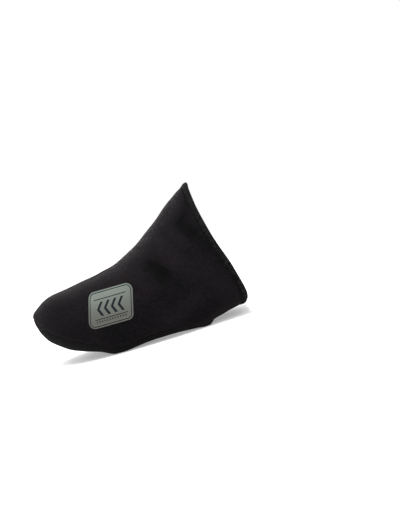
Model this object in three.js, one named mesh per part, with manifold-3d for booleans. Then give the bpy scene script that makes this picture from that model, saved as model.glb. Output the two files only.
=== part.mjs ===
// Toe cover for a road cyclist's left shoe: a stretch sleeve pulled over the front half of the shoe.
// Millimetres, +Z up. The toe points to -X and the outer side of the foot faces -Y.
// The cover stands empty on its sole and keeps the form that it has when worn.
// The origin is on the floor, under the middle of the cover.
import * as THREE from "three";
import { mergeVertices } from "three/addons/utils/BufferGeometryUtils.js";
import Module from "manifold-3d";

const wasm = await Module();
wasm.setup();

// Overall form
const coverLength = 171.5; // toe tip to the rearmost point of the collar
const lateralHalf = 54; // shoe axis to the outer side of the ball
const medialHalf = 47; // shoe axis to the inner side of the ball
const instepHeight = 110; // floor to the upper's top at the collar
const toeLift = 42; // floor to the toe tip
const archRise = 8.2; // floor to the underside at the collar
const tipOffset = 6; // shoe axis to the toe tip, towards the big toe
const ridgeOffset = 4; // shoe axis to the instep ridge, towards the big toe

// Walls and joins
const wall = 3; // foam with a knit on both faces
const gap = 0.3; // between pieces that are sewn edge to edge

// Collar
const collarLean = 21; // how far the top of the collar lies ahead of its rearmost point
const bindingWidth = 5.5;
const bindingProud = 0.6; // how far the folded binding stands off each face of the wall

// Cleat opening under the ball of the foot
const openingSetback = 65; // toe tip to the front edge of the opening
const openingLength = 67;
const openingFrontWidth = 36;
const openingRearWidth = 64;
const openingFrontCorner = 13;
const openingRearCorner = 15;
const openingOffset = 3.5; // shoe axis to the middle of the opening, towards the outer side
const edgeTapeWidth = 4;
const edgeTapeProud = 0.5;

// Reflective patch on the outer side of the toe
const patchSetback = 66.5; // toe tip to the middle of the patch
const patchHeight = 37.5; // floor to the middle of the patch
const patchWidth = 36;
const patchTall = 27; // as seen from the side
const patchLean = 4.5; // how far its upper edge lies behind its lower edge
const patchCorner = 5;
const patchThickness = 0.5;

// Resolution of the faceted skins
const crownSteps = 24;
const cornerSteps = 5;
const cornerFullness = 0.9; // 1 is a round corner under the side, less is a squarer one
const baseSteps = 6;
const outlineSteps = 48;
const nudge = 0.02; // share of a step between the two points that give a slope
const sameSpot = 1e-4; // corners closer than this are one corner
const farOut = 2 * coverLength; // well past the cover on every side

const strapLength = coverLength - openingSetback - openingLength;
const stretches = {
  toe: { start: 0, length: openingSetback },
  ball: { start: openingSetback, length: openingLength },
  strap: { start: openingSetback + openingLength, length: strapLength },
};

// One row for each cross-section, from the toe tip to just behind the collar.
// stretch, along: where it stands, as a share of the toe, the cleat opening or the strap behind it.
// top: share of the climb from the toe tip to the top of the collar.
// lift, arch: shares of toeLift and archRise that make the height of the underside.
// side: height of the widest place, as a share of the section's height. seam: of the sole's edge, as a share of that.
// outer, inner: shares of the way from the toe tip out to each side of the ball.
// base: flat share of the underside. crown: 0 is round, more is a fuller top, less is a narrower one.
const columns = "stretch along top lift arch side seam outer inner base crown".split(" ");
const sections = [
  ["toe", 0, 0, 1, 0, 0.5, 1, 0, 0, 0.3, 0],
  ["toe", 0.019, 0.054, 0.833, 0, 0.66, 0.95, 0.164, 0.19, 0.3, 0],
  ["toe", 0.062, 0.091, 0.674, 0, 0.5, 0.9, 0.298, 0.344, 0.35, 0.04],
  ["toe", 0.139, 0.141, 0.512, 0, 0.43, 0.82, 0.439, 0.505, 0.42, 0.08],
  ["toe", 0.246, 0.191, 0.393, 0, 0.37, 0.74, 0.572, 0.652, 0.5, 0.12],
  ["toe", 0.385, 0.212, 0.267, 0, 0.345, 0.63, 0.694, 0.78, 0.57, 0.14],
  ["toe", 0.555, 0.232, 0.181, 0, 0.315, 0.51, 0.8, 0.885, 0.64, 0.14],
  ["toe", 0.73, 0.258, 0.108, 0, 0.29, 0.41, 0.876, 0.95, 0.7, 0.12],
  ["toe", 0.92, 0.284, 0, 0, 0.28, 0.3, 0.934, 0.989, 0.75, 0.09],
  ["toe", 1, 0.301, 0, 0, 0.27, 0.28, 0.956, 0.997, 0.77, 0.07],
  ["ball", 0.14, 0.33, 0.022, 0, 0.257, 0.28, 0.982, 1, 0.78, 0.04],
  ["ball", 0.3, 0.395, 0.052, 0, 0.24, 0.28, 0.996, 0.986, 0.79, 0.01],
  ["ball", 0.47, 0.48, 0.062, 0, 0.23, 0.28, 1, 0.955, 0.79, -0.03],
  ["ball", 0.645, 0.597, 0.057, 0, 0.228, 0.27, 0.992, 0.912, 0.78, -0.09],
  ["ball", 0.81, 0.71, 0.038, 0, 0.23, 0.25, 0.97, 0.864, 0.76, -0.14],
  ["ball", 0.93, 0.798, 0.017, 0, 0.235, 0.23, 0.948, 0.828, 0.74, -0.17],
  ["ball", 1, 0.848, 0, 0, 0.24, 0.22, 0.935, 0.812, 0.73, -0.19],
  ["strap", 0.1, 0.88, 0, 0, 0.24, 0.22, 0.925, 0.8, 0.71, -0.2],
  ["strap", 0.23, 0.923, 0, 0.42, 0.225, 0.23, 0.912, 0.785, 0.68, -0.21],
  ["strap", 0.385, 0.982, 0, 0.55, 0.22, 0.24, 0.893, 0.771, 0.64, -0.22],
  ["strap", 0.62, 1.058, 0, 0.77, 0.212, 0.24, 0.867, 0.756, 0.58, -0.23],
  ["strap", 0.866, 1.136, 0, 0.94, 0.205, 0.24, 0.842, 0.744, 0.53, -0.24],
  ["strap", 1.1, 1.205, 0, 1.08, 0.2, 0.24, 0.822, 0.737, 0.5, -0.25],
  ["strap", 1.35, 1.26, 0, 1.2, 0.2, 0.24, 0.808, 0.732, 0.48, -0.25],
].map((row) => Object.fromEntries(columns.map((name, i) => [name, row[i]])));

// The collar's rear edge seen from the side. height: share of instepHeight. forward: share of collarLean.
const collarEdge = [
  { height: -0.3, forward: 0.5 },
  { height: 0.05, forward: 0.22 },
  { height: 0.09, forward: 0.06 },
  { height: 0.14, forward: 0 },
  { height: 0.2, forward: 0.04 },
  { height: 0.27, forward: 0.12 },
  { height: 0.33, forward: 0.2 },
  { height: 0.42, forward: 0.35 },
  { height: 0.54, forward: 0.55 },
  { height: 0.73, forward: 0.79 },
  { height: 0.9, forward: 0.95 },
  { height: 1, forward: 0.99 },
  { height: 1.25, forward: 1.1 },
];

// Real sizes of each cross-section, worked out from its row.
const sizes = sections.map((row) => {
  const { start, length } = stretches[row.stretch];
  const bottom = row.lift * toeLift + row.arch * archRise;
  const top = toeLift + row.top * (instepHeight - toeLift);
  const side = bottom + row.side * (top - bottom);
  return {
    x: start + row.along * length,
    top,
    bottom,
    side,
    seam: bottom + row.seam * (side - bottom),
    outer: tipOffset - row.outer * (lateralHalf + tipOffset),
    inner: tipOffset + row.inner * (medialHalf - tipOffset),
    ridge: tipOffset + row.outer * (ridgeOffset - tipOffset),
    base: row.base,
    crown: row.crown,
  };
});

// The value at place t on a smooth curve through a list of numbers, one for each whole t.
function smooth(values, t) {
  const i = Math.min(Math.max(Math.floor(t), 0), values.length - 2);
  const s = t - i;
  const [from, to] = [values[i], values[i + 1]];
  const before = i > 0 ? values[i - 1] : 2 * from - to;
  const after = i + 2 < values.length ? values[i + 2] : 2 * to - from;
  const [slopeFrom, slopeTo] = [(to - before) / 2, (after - from) / 2];
  return (
    (2 * s ** 3 - 3 * s ** 2 + 1) * from +
    (s ** 3 - 2 * s ** 2 + s) * slopeFrom +
    (3 * s ** 2 - 2 * s ** 3) * to +
    (s ** 3 - s ** 2) * slopeTo
  );
}

const sizeNames = Object.keys(sizes[0]);
const sectionAt = (t) =>
  Object.fromEntries(sizeNames.map((name) => [name, smooth(sizes.map((size) => size[name]), t)]));

// A point of a section: steps run over the crown from the outer side to the inner side, round the inner corner,
// back across the base and round the outer corner.
const roundSteps = crownSteps + 2 * cornerSteps + baseSteps;
function sectionPoint(section, step) {
  const { outer, inner, ridge, side, top, bottom } = section;
  const middle = (outer + inner) / 2;
  const flat = ((inner - outer) / 2) * section.base;
  if (step <= crownSteps) {
    const angle = (Math.PI * step) / crownSteps;
    const edge = angle < Math.PI / 2 ? outer : inner;
    const round = Math.abs(Math.cos(angle));
    const spread = round * (1 + section.crown * (1 - round ** 2));
    return new THREE.Vector3(section.x, ridge + (edge - ridge) * spread, side + (top - side) * Math.sin(angle));
  }
  const past = step - crownSteps - cornerSteps;
  if (past >= 0 && past <= baseSteps) {
    const across = 1 - (2 * past) / baseSteps;
    return new THREE.Vector3(section.x, middle + flat * across, bottom);
  }
  const [edge, foot, turned] =
    past < 0 ? [inner, middle + flat, step - crownSteps] : [outer, middle - flat, roundSteps - step];
  const angle = (Math.PI / 2) * (turned / cornerSteps);
  const spread = Math.cos(angle) ** cornerFullness;
  return new THREE.Vector3(section.x, foot + (edge - foot) * spread, side - (side - bottom) * Math.sin(angle));
}

// The cover's outer skin, moved outwards by offset, as one closed solid that runs on past the collar.
function skin(offset) {
  const last = sizes.length - 1;
  const at = (t, step) => sectionPoint(sectionAt(t), (step + roundSteps) % roundSteps);
  const points = [new THREE.Vector3(-offset, tipOffset, toeLift)];
  for (let t = 1; t <= last; t++) {
    for (let step = 0; step < roundSteps; step++) {
      const along = at(t + nudge, step).sub(at(t - nudge, step));
      const round = at(t, step + nudge).sub(at(t, step - nudge));
      const outwards = along.cross(round).normalize();
      points.push(at(t, step).addScaledVector(outwards, offset));
    }
  }
  const lastRing = points.length - roundSteps;
  const centre = new THREE.Vector3();
  points.slice(lastRing).forEach((point) => centre.addScaledVector(point, 1 / roundSteps));
  points.push(centre);
  const faces = [];
  for (let step = 0; step < roundSteps; step++) {
    const next = (step + 1) % roundSteps;
    faces.push(0, 1 + step, 1 + next);
    faces.push(points.length - 1, lastRing + next, lastRing + step);
    for (let ring = 1; ring < lastRing; ring += roundSteps) {
      const [a, b, c, d] = [ring + step, ring + next, ring + roundSteps + step, ring + roundSteps + next];
      faces.push(a, c, b, b, c, d);
    }
  }
  return solidOf(new THREE.BufferGeometry().setFromPoints(points).setIndex(faces));
}

// A closed geometry as a solid that can be cut and joined.
function solidOf(geometry) {
  geometry.deleteAttribute("normal");
  geometry.deleteAttribute("uv");
  const merged = mergeVertices(geometry, sameSpot);
  return new wasm.Manifold(
    new wasm.Mesh({
      numProp: 3,
      vertProperties: new Float32Array(merged.attributes.position.array),
      triVerts: new Uint32Array(merged.index.array),
    }),
  );
}

// An outline seen from the side, (x, z), as a bar that runs from y = from to y = to.
function sideBar(outline, from = -farOut, to = farOut) {
  const shape = new THREE.Shape(outline.map(([x, z]) => new THREE.Vector2(x, z)));
  const bar = new THREE.ExtrudeGeometry(shape, { depth: to - from, bevelEnabled: false });
  return solidOf(bar.rotateX(Math.PI / 2).translate(0, to, 0));
}

// An outline seen from above, (x, y), as an upright bar through the underside.
function uprightBar(outline) {
  const depth = toeLift;
  const shape = new THREE.Shape(outline.map(([x, y]) => new THREE.Vector2(x, y)));
  const bar = new THREE.ExtrudeGeometry(shape, { depth, bevelEnabled: false });
  return solidOf(bar.translate(0, 0, -depth / 2));
}

// The outline of a tight band round some discs.
function bandRound(discs, grow = 0) {
  return Array.from({ length: outlineSteps }, (_, i) => {
    const angle = (2 * Math.PI * i) / outlineSteps;
    const [dx, dy] = [Math.cos(angle), Math.sin(angle)];
    const reach = ({ x, y, r }) => x * dx + y * dy + r;
    const far = discs.reduce((best, disc) => (reach(disc) > reach(best) ? disc : best));
    return [far.x + (far.r + grow) * dx, far.y + (far.r + grow) * dy];
  });
}

// Everything ahead of the collar's edge, less a margin.
function aheadOfCollar(margin) {
  const edge = collarEdge.map((place) => [
    coverLength - place.forward * collarLean - margin,
    place.height * instepHeight,
  ]);
  const [lowest, highest] = [edge[0][1], edge[edge.length - 1][1]];
  return sideBar([[-farOut, lowest], ...edge, [-farOut, highest]]);
}

// Everything on one side of the seam between upper and sole: up is 1 above it and -1 below it.
function besideSeam(up) {
  const line = sizes.map((size, i) => {
    const [from, to] = [sizes[Math.max(i - 1, 0)], sizes[Math.min(i + 1, sizes.length - 1)]];
    const away = new THREE.Vector2(from.seam - to.seam, to.x - from.x).setLength((up * gap) / 2);
    return [size.x + away.x, size.seam + away.y];
  });
  const ends = [
    [-farOut, line[0][1]],
    [farOut, line[line.length - 1][1]],
  ];
  const outline = [ends[0], ...line, ends[1], [farOut, up * farOut], [-farOut, up * farOut]];
  return sideBar(up > 0 ? outline : outline.reverse());
}

// The cleat opening's outline, grown outwards by grow.
function openingOutline(grow) {
  const corner = (x, width, radius) => {
    const r = Math.min(radius, width / 2);
    return [-1, 1].map((hand) => ({ x, y: hand * (width / 2 - r) - openingOffset, r }));
  };
  const front = openingSetback + openingFrontCorner;
  const rear = openingSetback + openingLength - openingRearCorner;
  return bandRound(
    [
      ...corner(front, openingFrontWidth, openingFrontCorner),
      ...corner(rear, openingRearWidth, openingRearCorner),
    ],
    grow,
  );
}

// The patch's outline seen from the side: four round corners, its upper edge set back.
function patchOutline() {
  const [half, rise] = [patchWidth / 2 - patchCorner, patchTall / 2 - patchCorner];
  const corners = [-1, 1].flatMap((end) =>
    [-1, 1].map((up) => ({
      x: patchSetback + end * half + (up * patchLean) / 2,
      y: patchHeight + up * rise,
      r: patchCorner,
    })),
  );
  return bandRound(corners);
}

const outerSkin = skin(0);
const shell = outerSkin.subtract(skin(-wall)).intersect(aheadOfCollar(bindingWidth + gap));
const aboveFloor = sideBar([
  [-farOut, 0],
  [farOut, 0],
  [farOut, farOut],
  [-farOut, farOut],
]);

function makeUpper() {
  return shell.intersect(besideSeam(1));
}

function makeSolePanel() {
  const cut = uprightBar(openingOutline(edgeTapeWidth + gap));
  return shell.intersect(besideSeam(-1)).subtract(cut).intersect(aboveFloor);
}

function makeOpeningTape() {
  const tape = skin(edgeTapeProud).subtract(skin(-wall - edgeTapeProud));
  const ring = uprightBar(openingOutline(edgeTapeWidth)).subtract(uprightBar(openingOutline(0)));
  return tape.intersect(ring).intersect(aboveFloor);
}

function makeCollarBinding() {
  const band = skin(bindingProud).subtract(skin(-wall - bindingProud));
  return band.intersect(aheadOfCollar(0)).subtract(aheadOfCollar(bindingWidth));
}

function makePatch() {
  const print = skin(gap + patchThickness).subtract(skin(gap));
  return print.intersect(sideBar(patchOutline(), -farOut, tipOffset));
}

const fabric = { metalness: 0, roughness: 0.92 };
const neoprene = new THREE.MeshStandardMaterial({ color: 0x1c1a1e, ...fabric });
const gripFabric = new THREE.MeshStandardMaterial({ color: 0x191b19, ...fabric });
const bindingTape = new THREE.MeshStandardMaterial({ color: 0x161817, ...fabric });
const reflectiveFilm = new THREE.MeshStandardMaterial({ color: 0x8d9690, metalness: 0.2, roughness: 0.45 });

// A piece at its place in the cover, with the middle of the cover's length and width at the origin.
function piece(name, solid, material) {
  const { vertProperties, triVerts, numProp } = solid.getMesh();
  const geometry = new THREE.BufferGeometry();
  geometry.setAttribute("position", new THREE.BufferAttribute(vertProperties, numProp));
  geometry.setIndex(new THREE.BufferAttribute(triVerts, 1));
  geometry.computeVertexNormals();
  const mesh = new THREE.Mesh(geometry, material);
  mesh.name = name;
  return mesh;
}

const cover = new THREE.Group();
cover.add(
  piece("upper", makeUpper(), neoprene),
  piece("sole_panel", makeSolePanel(), gripFabric),
  piece("cleat_opening_tape", makeOpeningTape(), bindingTape),
  piece("collar_binding", makeCollarBinding(), bindingTape),
  piece("reflective_patch", makePatch(), reflectiveFilm),
);
cover.position.set(-coverLength / 2, (lateralHalf - medialHalf) / 2, 0);

export default cover;
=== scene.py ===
"""Looks of a stretch toe cover for a road cyclist's left shoe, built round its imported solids."""
import math

import bmesh
import bpy
import numpy as np
from bpy.props import FloatProperty, FloatVectorProperty, IntProperty, PointerProperty
from mathutils import Matrix, Vector


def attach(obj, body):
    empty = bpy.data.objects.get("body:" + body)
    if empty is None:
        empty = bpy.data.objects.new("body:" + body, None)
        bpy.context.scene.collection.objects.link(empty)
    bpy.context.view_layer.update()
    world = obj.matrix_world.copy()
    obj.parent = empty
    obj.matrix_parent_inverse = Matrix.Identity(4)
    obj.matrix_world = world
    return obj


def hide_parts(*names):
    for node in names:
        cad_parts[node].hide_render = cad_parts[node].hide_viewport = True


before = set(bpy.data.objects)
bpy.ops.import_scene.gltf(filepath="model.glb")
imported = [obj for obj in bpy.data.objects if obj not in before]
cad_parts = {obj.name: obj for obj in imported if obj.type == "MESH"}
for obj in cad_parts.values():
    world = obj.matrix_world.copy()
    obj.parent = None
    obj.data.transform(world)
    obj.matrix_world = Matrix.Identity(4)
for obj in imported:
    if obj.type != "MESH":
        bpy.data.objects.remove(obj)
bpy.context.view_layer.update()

bl_info = {
    "name": "Toe cover",
    "version": (1, 0, 0),
    "blender": (4, 5, 0),
    "location": "3D View > Sidebar > Toe cover",
    "description": "Builds a cyclist's toe cover from foam, cloth, tape, film and thread",
    "category": "Add Mesh",
}

# One row for each cross-section, from the toe tip to just behind the collar.
# stretch, along: where it stands, as a share of the toe, the cleat opening or the strap behind it.
# top: share of the climb from the toe tip to the top of the collar.
# lift, arch: shares of toe_lift and arch_rise that make the height of the underside.
# side: height of the widest place, as a share of the section's height.
# seam: height of the sole's edge, as a share of the way from the underside up to the widest place.
# outer, inner: shares of the way from the toe tip out to each side of the ball.
# base: flat share of the underside. crown: 0 is round, more is a fuller top, less is a narrower one.
COLUMNS = "stretch along top lift arch side seam outer inner base crown".split()
SECTIONS = [
    ("toe", 0, 0, 1, 0, 0.5, 1, 0, 0, 0.3, 0),
    ("toe", 0.019, 0.054, 0.833, 0, 0.66, 0.95, 0.164, 0.19, 0.3, 0),
    ("toe", 0.062, 0.091, 0.674, 0, 0.5, 0.9, 0.298, 0.344, 0.35, 0.04),
    ("toe", 0.139, 0.141, 0.512, 0, 0.43, 0.82, 0.439, 0.505, 0.42, 0.08),
    ("toe", 0.246, 0.191, 0.393, 0, 0.37, 0.74, 0.572, 0.652, 0.5, 0.12),
    ("toe", 0.385, 0.212, 0.267, 0, 0.345, 0.63, 0.694, 0.78, 0.57, 0.14),
    ("toe", 0.555, 0.232, 0.181, 0, 0.315, 0.51, 0.8, 0.885, 0.64, 0.14),
    ("toe", 0.73, 0.258, 0.108, 0, 0.29, 0.41, 0.876, 0.95, 0.7, 0.12),
    ("toe", 0.92, 0.284, 0, 0, 0.28, 0.3, 0.934, 0.989, 0.75, 0.09),
    ("toe", 1, 0.301, 0, 0, 0.27, 0.28, 0.956, 0.997, 0.77, 0.07),
    ("ball", 0.14, 0.33, 0.022, 0, 0.257, 0.28, 0.982, 1, 0.78, 0.04),
    ("ball", 0.3, 0.395, 0.052, 0, 0.24, 0.28, 0.996, 0.986, 0.79, 0.01),
    ("ball", 0.47, 0.48, 0.062, 0, 0.23, 0.28, 1, 0.955, 0.79, -0.03),
    ("ball", 0.645, 0.597, 0.057, 0, 0.228, 0.27, 0.992, 0.912, 0.78, -0.09),
    ("ball", 0.81, 0.71, 0.038, 0, 0.23, 0.25, 0.97, 0.864, 0.76, -0.14),
    ("ball", 0.93, 0.798, 0.017, 0, 0.235, 0.23, 0.948, 0.828, 0.74, -0.17),
    ("ball", 1, 0.848, 0, 0, 0.24, 0.22, 0.935, 0.812, 0.73, -0.19),
    ("strap", 0.1, 0.88, 0, 0, 0.24, 0.22, 0.925, 0.8, 0.71, -0.2),
    ("strap", 0.23, 0.923, 0, 0.42, 0.225, 0.23, 0.912, 0.785, 0.68, -0.21),
    ("strap", 0.385, 0.982, 0, 0.55, 0.22, 0.24, 0.893, 0.771, 0.64, -0.22),
    ("strap", 0.62, 1.058, 0, 0.77, 0.212, 0.24, 0.867, 0.756, 0.58, -0.23),
    ("strap", 0.866, 1.136, 0, 0.94, 0.205, 0.24, 0.842, 0.744, 0.53, -0.24),
    ("strap", 1.1, 1.205, 0, 1.08, 0.2, 0.24, 0.822, 0.737, 0.5, -0.25),
    ("strap", 1.35, 1.26, 0, 1.2, 0.2, 0.24, 0.808, 0.732, 0.48, -0.25),
]
# The collar's rear edge seen from the side: share of the instep's height, share of the collar's lean.
COLLAR_EDGE = [
    (-0.3, 0.5), (0.05, 0.22), (0.09, 0.06), (0.14, 0), (0.2, 0.04), (0.27, 0.12), (0.33, 0.2),
    (0.42, 0.35), (0.54, 0.55), (0.73, 0.79), (0.9, 0.95), (1, 0.99), (1.25, 1.1),
]
# Soft troughs and ridges of the stretched upper: name, side, start, end, half width, depth.
# Places are seen from the side, in millimetres behind the toe tip and above the floor.
# side: -1 is the outer side of the foot, 1 the inner side, 0 both. depth: a trough is below 0.
FOLDS = [
    ("flex hollow", -1, (105.5, 57), (113.5, 48), 5.2, -2.2),
    ("ridge behind the flex hollow", -1, (111, 76), (126, 54), 7.5, 1.2),
    ("pull ahead of the flex hollow", -1, (88, 60), (99, 44), 7, 0.7),
    ("hollow under the collar's top", -1, (136.5, 83), (142, 73), 5.5, -2.3),
    ("its upper end", -1, (142, 88), (148, 99), 4.5, -1.2),
    ("its lower end by the hem", -1, (145, 69), (157, 55), 5.5, -1.0),
    ("ridge ahead of it", -1, (127, 82), (135, 68), 6.5, 0.8),
    ("crest beside its upper end", -1, (133, 86), (142, 99), 4.2, 1.6),
    ("pull over the instep", -1, (114, 76), (119, 70.5), 4.4, 0.9),
    ("swell under the collar's top", 0, (129, 96), (168, 121), 11, 0.8),
    ("cloth run up to the hem's cap", 0, (142, 106), (168, 121), 7, 0.7),
    ("tail of the flex hollow", -1, (114, 45), (124, 33), 7, -0.7),
    ("pull from the sole to the heel end", -1, (107, 14), (134, 25), 5.5, 1.1),
    ("swell at the heel end", -1, (140, 42), (158, 24), 9, 1.1),
    ("tuck over the rear lip", -1, (128, 10), (142, 15), 4, -0.4),
    ("hollow beside the toes", -1, (20, 51), (38, 52), 6, -0.5),
    ("swell at the toe's side", -1, (12, 41), (32, 35), 7, 0.5),
    ("hollow under the patch", -1, (60, 20), (90, 24), 8, -0.45),
    ("fullness over the toes", 0, (25, 59), (88, 73), 9, 0.45),
    ("inner flex hollow", 1, (92, 58), (114, 40), 9, -1.6),
    ("inner ridge", 1, (106, 68), (128, 52), 7, 1.1),
    ("inner hollow by the collar", 1, (138, 80), (147, 56), 6.5, -1.6),
    ("inner swell at the big toe", 1, (44, 30), (74, 27), 10, 0.9),
]

MM = 1000  # millimetres in a metre
STITCH_INSET = 0.0009  # from the inner edge of a folded tape to its row of stitches
TUCKED = 0.0015  # how far the cut edge of the foam runs on inside a folded tape
SEWN_REACH = 0.0018  # how far beside a seam its stitches pull the cloth in


def length(name, description, default):
    return FloatProperty(
        name=name, description=description, default=default, unit="LENGTH", precision=5)


def share(name, description, default):
    return FloatProperty(name=name, description=description, default=default, subtype="FACTOR")


def tilt(name, description, degrees):
    return FloatProperty(
        name=name, description=description, default=math.radians(degrees), subtype="ANGLE")


def colour(name, description, default):
    return FloatVectorProperty(
        name=name, description=description, default=default, subtype="COLOR", size=3)


class CoverSizes(bpy.types.PropertyGroup):
    """The form of the sleeve."""

    cover_length: length("Length", "Toe tip to the rearmost point of the collar", 0.1715)
    lateral_half: length("Outer half width", "Shoe axis to the outer side of the ball", 0.054)
    medial_half: length("Inner half width", "Shoe axis to the inner side of the ball", 0.047)
    instep_height: length("Instep height", "Floor to the upper's top at the collar", 0.110)
    toe_lift: length("Toe lift", "Floor to the toe tip", 0.042)
    arch_rise: length("Arch rise", "Floor to the underside at the collar", 0.0082)
    tip_offset: length("Tip offset", "Shoe axis to the toe tip, towards the big toe", 0.006)
    ridge_offset: length("Ridge offset", "Shoe axis to the instep ridge, towards the big toe", 0.004)
    wall: length("Wall", "Foam with a knit on both faces", 0.003)
    edge_round: length("Edge round", "How far the cut edges of the foam are rounded", 0.00045)
    corner_fullness: share("Corner fullness", "1 is round under the side, less is squarer", 0.9)
    fold_strength: share("Fold strength", "How strongly the troughs and ridges show", 1.0)


class CollarSizes(bpy.types.PropertyGroup):
    """The folded edge round the collar."""

    lean: length("Lean", "How far the top of the collar lies ahead of its rearmost point", 0.021)
    width: length("Width", "Width of the folded edge", 0.0055)
    proud: length("Proud", "How far the folded edge stands off each face of the wall", 0.0006)


class OpeningSizes(bpy.types.PropertyGroup):
    """The cleat opening under the ball of the foot."""

    setback: length("Setback", "Toe tip to the front edge of the opening", 0.065)
    length: length("Length", "Front edge to rear edge", 0.067)
    front_width: length("Front width", "Width of the opening at its front", 0.036)
    rear_width: length("Rear width", "Width of the opening at its rear", 0.064)
    front_corner: length("Front corner", "Radius of the front corners", 0.013)
    rear_corner: length("Rear corner", "Radius of the rear corners", 0.015)
    offset: length("Offset", "Shoe axis to the middle of the opening, towards the outer side", 0.0035)
    tape_width: length("Tape width", "Width of the tape round the opening", 0.004)
    tape_proud: length("Tape proud", "How far the tape stands off each face of the wall", 0.0005)


class PatchSizes(bpy.types.PropertyGroup):
    """The reflective patch on the outer side of the toe."""

    setback: length("Setback", "Toe tip to the middle of the patch", 0.0665)
    height: length("Height", "Floor to the middle of the patch", 0.0375)
    width: length("Width", "Width as seen from the side", 0.036)
    tall: length("Tall", "Height as seen from the side", 0.027)
    lean: length("Lean", "How far its upper edge lies behind its lower edge", 0.0045)
    corner: length("Corner", "Radius of the corners", 0.005)
    proud: length("Proud", "How far the film stands off the knit", 0.00045)


class StitchSizes(bpy.types.PropertyGroup):
    """Thread and stitches."""

    hem_pitch: length("Hem pitch", "From one stitch of the collar to the next", 0.0036)
    tape_pitch: length("Tape pitch", "From one stitch of the opening tape to the next", 0.0026)
    thread: length("Hem thread", "Thickness of the doubled thread of the collar", 0.0009)
    tape_thread: length("Tape thread", "Thickness of the thread of the opening tape", 0.0006)
    show: share("Stitch share", "Share of each pitch that the thread covers", 0.72)
    seed: IntProperty(name="Seed", description="Picks the small differences between stitches", default=7)


class Colours(bpy.types.PropertyGroup):
    """Base colours, linear."""

    knit: colour("Knit", "Black knit of the upper", (0.0009, 0.0008, 0.00098))
    # Painted highlight: the fold lift mixes this colour in on ridges, and the dark knit in troughs as
    # painted shade; random lint mixes it in too.
    knit_lint_and_painted_highlight: colour("Knit, lint and painted highlight", "Lint at random, and the painted highlight on fold ridges", (0.0064, 0.0055, 0.0066))
    knit_warm: colour("Knit, faded", "Where its dye has gone a little red", (0.0082, 0.0053, 0.0068))
    grip: colour("Grip cloth", "Cloth of the sole panel", (0.0011, 0.00085, 0.0009))
    # Painted light: this colour is also mixed in along the strap behind the opening, standing in for light
    # from below.
    grip_yarn_and_painted_light: colour("Grip yarn and painted light", "Lighter yarn of the sole panel, and painted light on the strap", (0.006, 0.0049, 0.005))
    tape: colour("Tape", "Folded edge and opening tape", (0.001, 0.00105, 0.001))
    tape_light: colour("Tape flecks", "Lighter flecks of the tape", (0.0078, 0.0086, 0.0077))
    film: colour("Film", "Reflective film", (0.072, 0.0735, 0.065))
    # Painted highlight on the film's upper part, where it turns up to the light.
    film_sheen: colour("Film, upper part", "Where the film turns up to the light", (0.078, 0.094, 0.083))
    ink: colour("Ink", "Dark lines on the film", (0.0035, 0.006, 0.0082))
    lining: colour("Lining", "Inner knit", (0.007, 0.0066, 0.0072))
    # On the upper's lining the fold lift mixes this colour in as a painted highlight on ridges, as well as
    # the raised yarn at random.
    lining_yarn_and_painted_highlight: colour("Lining, raised yarn and painted highlight", "Raised yarn of the inner knit, and its painted highlight on fold ridges", (0.0119, 0.0112, 0.0122))
    thread: colour("Thread", "Sewing thread", (0.0011, 0.0011, 0.0012))
    floor: colour("Floor", "Pale floor", (0.62, 0.62, 0.62))


class CameraSizes(bpy.types.PropertyGroup):
    """Where the camera stands, in the cover's own frame."""

    azimuth: tilt("Azimuth", "0 looks along +Y", 0.0)
    elevation: tilt("Elevation", "Above the horizon", 4.0)
    roll: tilt("Roll", "Turn about the line of sight", 17.07)
    lens: FloatProperty(name="Lens", description="Focal length in millimetres", default=100.0)
    sensor: FloatProperty(name="Sensor", description="Long side in millimetres", default=36.0)
    distance: length("Distance", "Camera to the point it looks at", 1.1628)
    aim_x: length("Aim X", "Place along the cover that the camera looks at", 0.05754)
    aim_z: length("Aim Z", "Height that the camera looks at", 0.0487)


class ToeCover(bpy.types.PropertyGroup):
    """Everything that a user would change."""

    cover: PointerProperty(type=CoverSizes)
    collar: PointerProperty(type=CollarSizes)
    opening: PointerProperty(type=OpeningSizes)
    patch: PointerProperty(type=PatchSizes)
    stitches: PointerProperty(type=StitchSizes)
    colours: PointerProperty(type=Colours)
    camera: PointerProperty(type=CameraSizes)


def settings():
    return bpy.context.scene.toe_cover


class Track:
    """A smooth curve of one number along the cover. A steady one never swings past its values."""

    def __init__(self, t, values, steady=False, start_level=False):
        self.t, self.values = np.asarray(t, float), np.asarray(values, float)
        self.slopes = self.steady_slopes() if steady else self.smooth_slopes(start_level)

    def smooth_slopes(self, start_level):
        h = np.diff(self.t)
        d = np.diff(self.values) / h
        n = len(self.t)
        system, known = np.zeros((n, n)), np.zeros(n)
        for i in range(1, n - 1):
            system[i, i - 1 : i + 2] = h[i], 2 * (h[i - 1] + h[i]), h[i - 1]
            known[i] = 3 * (h[i] * d[i - 1] + h[i - 1] * d[i])
        system[0, :2] = (1, 0) if start_level else (2, 1)
        known[0] = 0 if start_level else 3 * d[0]
        system[-1, -2:] = 1, 2
        known[-1] = 3 * d[-1]
        return np.linalg.solve(system, known)

    def steady_slopes(self):
        d = np.diff(self.values) / np.diff(self.t)
        slopes = np.concatenate([d[:1], np.zeros(len(d) - 1), d[-1:]])
        rising = d[1:] * d[:-1] > 0
        slopes[1:-1][rising] = 2 * (d[1:] * d[:-1])[rising] / (d[1:] + d[:-1])[rising]
        return slopes

    def __call__(self, t):
        i = np.clip(np.searchsorted(self.t, t, side="right") - 1, 0, len(self.t) - 2)
        h = self.t[i + 1] - self.t[i]
        s = (t - self.t[i]) / h
        return (
            (2 * s**3 - 3 * s**2 + 1) * self.values[i]
            + (s**3 - 2 * s**2 + s) * h * self.slopes[i]
            + (3 * s**2 - 2 * s**3) * self.values[i + 1]
            + (s**3 - s**2) * h * self.slopes[i + 1]
        )


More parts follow.
